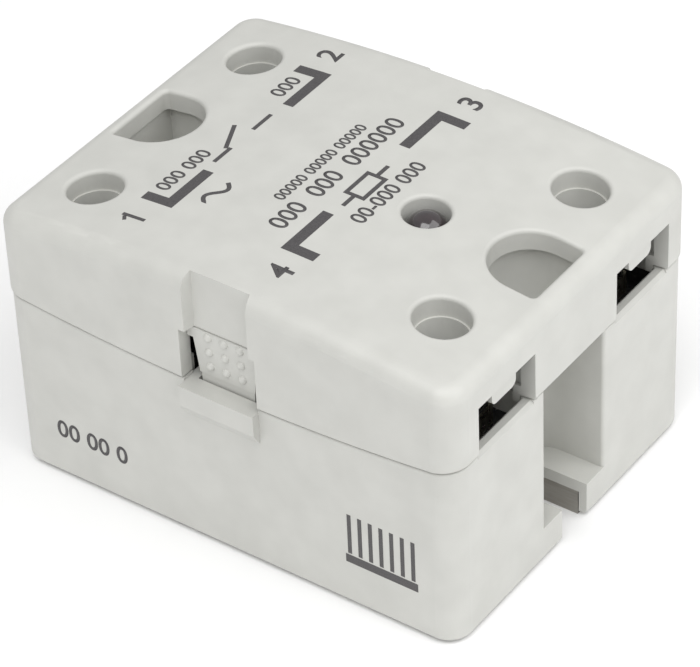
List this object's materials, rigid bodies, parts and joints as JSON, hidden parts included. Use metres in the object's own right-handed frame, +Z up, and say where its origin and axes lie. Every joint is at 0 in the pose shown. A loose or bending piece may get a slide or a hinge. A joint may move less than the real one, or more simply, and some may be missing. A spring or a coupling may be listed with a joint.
{
  "type": "solid state relay",
  "caption": "Panel-mount solid state relay: cast power base on a metal plate, clip-on cover with side latches, screw terminals and an indicator.",
  "frame": {"origin": "centre of the underside of the metal base plate, which rests on the heatsink", "axes": "+X towards the input end (terminals 3 and 4), -Y towards the front latch, +Z up from the heatsink"},
  "size_m": [0.0584, 0.0472, 0.0357],
  "materials": {
    "grey_plastic": "satin moulded",
    "nickel_plate": "satin nickel plate",
    "black_epoxy": "cast gloss",
    "smoked_lens": "polished",
    "white_ceramic": "fired matte",
    "bare_copper": "satin copper",
    "silicon": "polished",
    "board_green": "solder mask",
    "tinned_wire": "tinned",
    "black_component": "moulded",
    "yellow_component": "moulded",
    "tan_component": "lacquered",
    "nickel_brass": "nickel plated",
    "zinc_steel": "bright zinc plated"
  },
  "bodies": {
    "casing": {"base_plate": "nickel_plate", "base_housing": "grey_plastic", "potting_compound": "black_epoxy", "led_lens": "smoked_lens", "ceramic_substrate": "white_ceramic", "copper_pads": "bare_copper", "thyristor_chips": "silicon", "control_board": "board_green", "board_pins": "tinned_wire", "optocoupler": "black_component", "snubber_capacitor": "yellow_component", "resistors": "tan_component", "led_leads": "tinned_wire", "terminal_block_1": "nickel_brass", "terminal_block_2": "nickel_brass", "terminal_block_3": "nickel_brass", "terminal_block_4": "nickel_brass", "output_lead_1": "bare_copper", "output_lead_2": "bare_copper", "input_lead_3": "bare_copper", "input_lead_4": "bare_copper"},
    "snap_cover": {"cover": "grey_plastic", "screw_guide_1": "grey_plastic", "screw_guide_2": "grey_plastic", "screw_guide_3": "grey_plastic", "screw_guide_4": "grey_plastic"},
    "front_latch": {"latch_tongue_front": "grey_plastic"},
    "rear_latch": {"latch_tongue_rear": "grey_plastic"},
    "clamp_1": {"clamp_washer_1": "zinc_steel"},
    "screw_1": {"terminal_screw_1": "zinc_steel"},
    "clamp_2": {"clamp_washer_2": "zinc_steel"},
    "screw_2": {"terminal_screw_2": "zinc_steel"},
    "clamp_3": {"clamp_washer_3": "zinc_steel"},
    "screw_3": {"terminal_screw_3": "zinc_steel"},
    "clamp_4": {"clamp_washer_4": "zinc_steel"},
    "screw_4": {"terminal_screw_4": "zinc_steel"}
  },
  "joints": [
    {"name": "cover_lift", "type": "slide", "parent": "casing", "child": "snap_cover", "axis": [0, 0, 1], "range_m": [0, 0.03]},
    {"name": "latch_front_press", "type": "hinge", "parent": "snap_cover", "child": "front_latch", "pos_m": [0, -0.02085, 0.0276], "axis": [1, 0, 0], "range_deg": [0, 6.5], "stiffness_Nm_per_rad": 0.5},
    {"name": "latch_rear_press", "type": "hinge", "parent": "snap_cover", "child": "rear_latch", "pos_m": [0, 0.02085, 0.0276], "axis": [-1, 0, 0], "range_deg": [0, 6.5], "stiffness_Nm_per_rad": 0.5},
    {"name": "terminal_1_rise", "type": "slide", "parent": "casing", "child": "clamp_1", "axis": [0, 0, 1], "range_m": [0, 0.0021]},
    {"name": "terminal_1_turn", "type": "hinge", "parent": "clamp_1", "child": "screw_1", "pos_m": [-0.0219, -0.0142, 0.0236], "axis": [0, 0, 1], "range_deg": [0, 1080.1]},
    {"name": "terminal_2_rise", "type": "slide", "parent": "casing", "child": "clamp_2", "axis": [0, 0, 1], "range_m": [0, 0.0021]},
    {"name": "terminal_2_turn", "type": "hinge", "parent": "clamp_2", "child": "screw_2", "pos_m": [-0.0219, 0.0142, 0.0236], "axis": [0, 0, 1], "range_deg": [0, 1080.1]},
    {"name": "terminal_3_rise", "type": "slide", "parent": "casing", "child": "clamp_3", "axis": [0, 0, 1], "range_m": [0, 0.0021]},
    {"name": "terminal_3_turn", "type": "hinge", "parent": "clamp_3", "child": "screw_3", "pos_m": [0.02145, 0.013, 0.0236], "axis": [0, 0, 1], "range_deg": [0, 1080.1]},
    {"name": "terminal_4_rise", "type": "slide", "parent": "casing", "child": "clamp_4", "axis": [0, 0, 1], "range_m": [0, 0.0021]},
    {"name": "terminal_4_turn", "type": "hinge", "parent": "clamp_4", "child": "screw_4", "pos_m": [0.02145, -0.013, 0.0236], "axis": [0, 0, 1], "range_deg": [0, 1080.1]}
  ],
  "couplings": [
    {"joint": "terminal_1_turn", "follows": "terminal_1_rise", "rad_per_m": 8976},
    {"joint": "terminal_2_turn", "follows": "terminal_2_rise", "rad_per_m": 8976},
    {"joint": "terminal_3_turn", "follows": "terminal_3_rise", "rad_per_m": 8976},
    {"joint": "terminal_4_turn", "follows": "terminal_4_rise", "rad_per_m": 8976}
  ]
}
